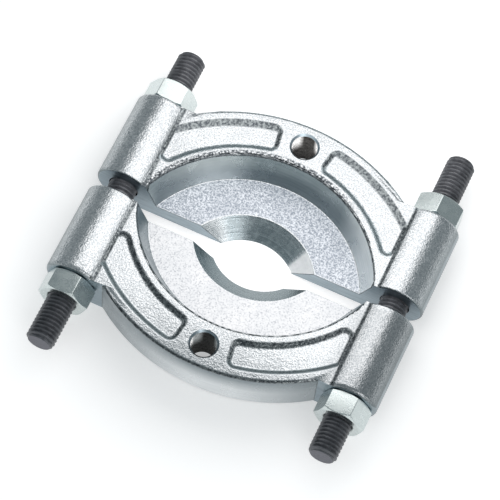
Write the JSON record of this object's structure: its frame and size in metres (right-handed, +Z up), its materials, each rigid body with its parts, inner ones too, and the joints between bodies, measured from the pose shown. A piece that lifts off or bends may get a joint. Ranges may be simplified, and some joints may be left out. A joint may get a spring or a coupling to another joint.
{
  "type": "bearing separator",
  "caption": "Bearing separator with two flanged cast halves that close around a knife-edged opening on two nut-tightened threaded studs, with threaded puller holes.",
  "frame": {"origin": "middle of the bearing opening, on the flat underside of the halves", "axes": "+X along the split between the halves, +Y along the studs from the front half to the back half, +Z up from the flat underside to the recessed face"},
  "size_m": [0.168, 0.173, 0.028],
  "materials": {
    "cast_halves": "bright plating over a grainy forging, with smooth machined recess walls",
    "blackened_studs": "black oxide, semi-matt, fully threaded",
    "plated_nuts": "pale grey-green plating, satin"
  },
  "bodies": {
    "front_half": {"plate_half_front": "cast_halves"},
    "back_half": {"plate_half_back": "cast_halves"},
    "left_stud": {"stud_left": "blackened_studs"},
    "right_stud": {"stud_right": "blackened_studs"},
    "left_front_nut": {"nut_left_front": "plated_nuts"},
    "right_front_nut": {"nut_right_front": "plated_nuts"},
    "left_back_nut": {"nut_left_back": "plated_nuts"},
    "right_back_nut": {"nut_right_back": "plated_nuts"}
  },
  "joints": [
    {"name": "left_front_nut_turn", "type": "hinge", "parent": "front_half", "child": "left_front_nut", "pos_m": [-0.07, -0.0563, 0.014], "axis": [0, 1, 0], "range_deg": [-3240, 756]},
    {"name": "right_front_nut_turn", "type": "hinge", "parent": "front_half", "child": "right_front_nut", "pos_m": [0.07, -0.0563, 0.014], "axis": [0, 1, 0], "range_deg": [-3240, 756]},
    {"name": "left_stud_travel", "type": "slide", "parent": "front_half", "child": "left_stud", "axis": [0, -1, 0], "range_m": [-0.018, 0.0042]},
    {"name": "right_stud_travel", "type": "slide", "parent": "front_half", "child": "right_stud", "axis": [0, -1, 0], "range_m": [-0.018, 0.0042]},
    {"name": "back_half_travel", "type": "slide", "parent": "left_stud", "child": "back_half", "axis": [0, -1, 0], "range_m": [-0.018, 0.0042]},
    {"name": "left_back_nut_turn", "type": "hinge", "parent": "back_half", "child": "left_back_nut", "pos_m": [-0.07, 0.0563, 0.014], "axis": [0, -1, 0], "range_deg": [-3240, 756]},
    {"name": "right_back_nut_turn", "type": "hinge", "parent": "back_half", "child": "right_back_nut", "pos_m": [0.07, 0.0563, 0.014], "axis": [0, -1, 0], "range_deg": [-3240, 756]}
  ],
  "couplings": [
    {"joint": "right_stud_travel", "follows": "left_stud_travel", "ratio": 1},
    {"joint": "left_front_nut_turn", "follows": "left_stud_travel", "rad_per_m": 3141.5},
    {"joint": "right_front_nut_turn", "follows": "left_stud_travel", "rad_per_m": 3141.5},
    {"joint": "left_back_nut_turn", "follows": "back_half_travel", "rad_per_m": 3141.5},
    {"joint": "right_back_nut_turn", "follows": "back_half_travel", "rad_per_m": 3141.5}
  ]
}
